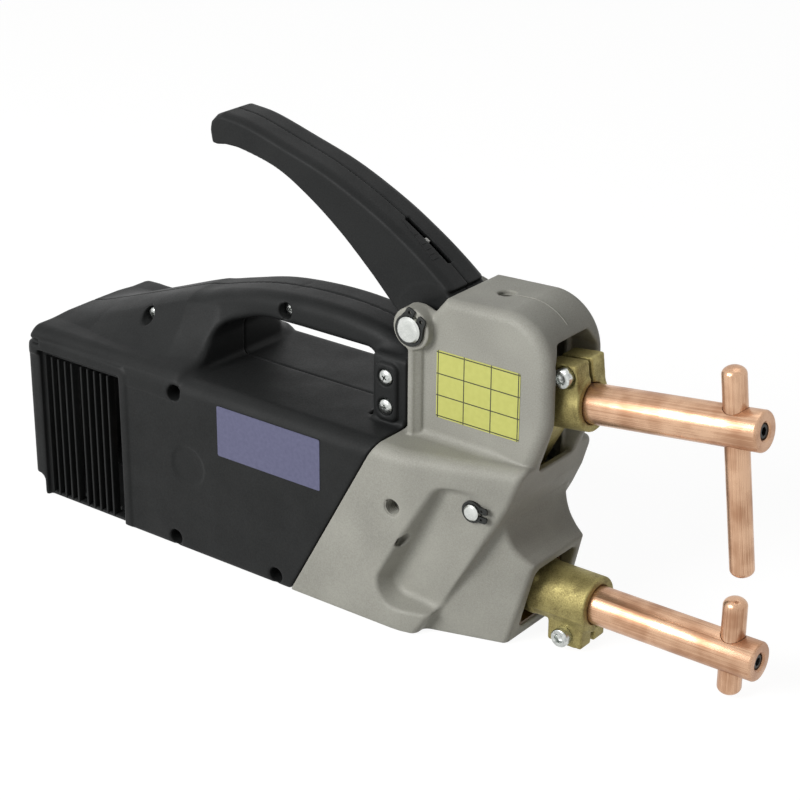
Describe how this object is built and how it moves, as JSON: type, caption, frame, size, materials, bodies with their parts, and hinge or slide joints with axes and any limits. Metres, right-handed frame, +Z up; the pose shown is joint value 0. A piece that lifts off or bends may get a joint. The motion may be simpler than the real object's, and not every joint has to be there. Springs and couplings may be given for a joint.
{
  "type": "spot welder",
  "caption": "Hand-held pincer spot welder with a moulded rear housing and grip, a cast metal head, copper arms with electrodes and a squeeze lever that closes the tips.",
  "frame": {"origin": "middle of the machine's length and width, on the plane that it stands on", "axes": "+X towards the tips of the arms, +Y to the left of a person holding the grip, +Z up"},
  "size_m": [0.44, 0.1016, 0.2365],
  "materials": {
    "black_nylon": "moulded, fine spark-eroded grain",
    "cast_aluminium": "die cast, bead blasted",
    "cast_brass": "sand cast, as cast",
    "copper": null,
    "bright_steel": "zinc plated or ground",
    "black_steel": "black oxide",
    "insulating_board": "pressed resin board",
    "core_steel": "laminated transformer steel",
    "enamelled_wire": "enamelled copper wire",
    "circuit_board": "glass epoxy board",
    "white_plastic": "moulded",
    "rubber": "moulded"
  },
  "bodies": {
    "machine": {"arm_pivot_circlip_left": "black_steel", "arm_pivot_circlip_right": "black_steel", "arm_pivot_pin": "bright_steel", "cable_inlet_bush": "rubber", "control_board": "circuit_board", "flexible_strap": "copper", "handle_screw_1": "bright_steel", "handle_screw_2": "bright_steel", "handle_screw_3": "bright_steel", "handle_screw_4": "bright_steel", "head_casting": "cast_aluminium", "housing_screw_1": "bright_steel", "housing_screw_2": "bright_steel", "housing_screw_3": "bright_steel", "housing_screw_4": "bright_steel", "housing_screw_5": "bright_steel", "left_housing_half": "black_nylon", "lever_pivot_circlip_left": "black_steel", "lever_pivot_circlip_right": "black_steel", "lever_pivot_pin": "bright_steel", "lower_arm": "copper", "lower_arm_holder": "cast_brass", "lower_clamp_bolt": "bright_steel", "lower_insulator": "insulating_board", "lower_set_screw": "black_steel", "primary_winding": "enamelled_wire", "return_spring": "bright_steel", "right_housing_half": "black_nylon", "secondary_loop": "copper", "terminal_bolt_left": "bright_steel", "terminal_bolt_right": "bright_steel", "transformer_core": "core_steel", "weld_switch": "black_nylon"},
    "lever": {"lever_left_half": "black_nylon", "lever_right_half": "black_nylon", "lever_crank": "bright_steel", "crank_pin": "bright_steel", "force_guide_rod": "bright_steel", "force_spring": "bright_steel"},
    "toggle_link": {"toggle_link": "bright_steel"},
    "upper_arm": {"upper_arm_holder": "cast_brass", "upper_arm": "copper", "upper_set_screw": "black_steel", "upper_clamp_bolt": "bright_steel", "arm_pivot_bush": "insulating_board", "arm_link_pin": "bright_steel", "strap_bolt": "bright_steel"},
    "upper_electrode": {"upper_electrode": "copper"},
    "lower_electrode": {"lower_electrode": "copper"},
    "force_pointer": {"force_pointer": "white_plastic"},
    "switch_plunger": {"switch_plunger": "white_plastic"}
  },
  "joints": [
    {"name": "lever_swing", "type": "hinge", "parent": "machine", "child": "lever", "pos_m": [0.0341, 0, 0.1561], "axis": [0, 1, 0], "range_deg": [-22, 0], "stiffness_Nm_per_rad": 3, "springref_deg": 17.19},
    {"name": "upper_arm_swing", "type": "hinge", "parent": "machine", "child": "upper_arm", "pos_m": [0.0797, 0, 0.0748], "axis": [0, 1, 0], "range_deg": [0, 5.1]},
    {"name": "link_swing", "type": "hinge", "parent": "lever", "child": "toggle_link", "pos_m": [0.0341, 0, 0.1411], "axis": [0, 1, 0], "range_deg": [0, 21.6]},
    {"name": "switch_press", "type": "slide", "parent": "machine", "child": "switch_plunger", "axis": [-1, 0, 0], "range_m": [0, 0.0026]},
    {"name": "upper_tip_reach", "type": "slide", "parent": "upper_arm", "child": "upper_electrode", "axis": [-0.1201, 0, 0.9928], "range_m": [0, 0.025]},
    {"name": "lower_tip_reach", "type": "slide", "parent": "machine", "child": "lower_electrode", "axis": [0, 0, -1], "range_m": [0, 0.025]},
    {"name": "force_setting", "type": "slide", "parent": "lever", "child": "force_pointer", "axis": [0.8779, 0, -0.4789], "range_m": [-0.012, 0.002]}
  ],
  "couplings": [
    {"joint": "upper_arm_swing", "follows": "lever_swing", "ratio": -0.2318},
    {"joint": "link_swing", "follows": "lever_swing", "ratio": -0.98},
    {"joint": "switch_press", "follows": "lever_swing", "m_per_rad": -0.006}
  ]
}
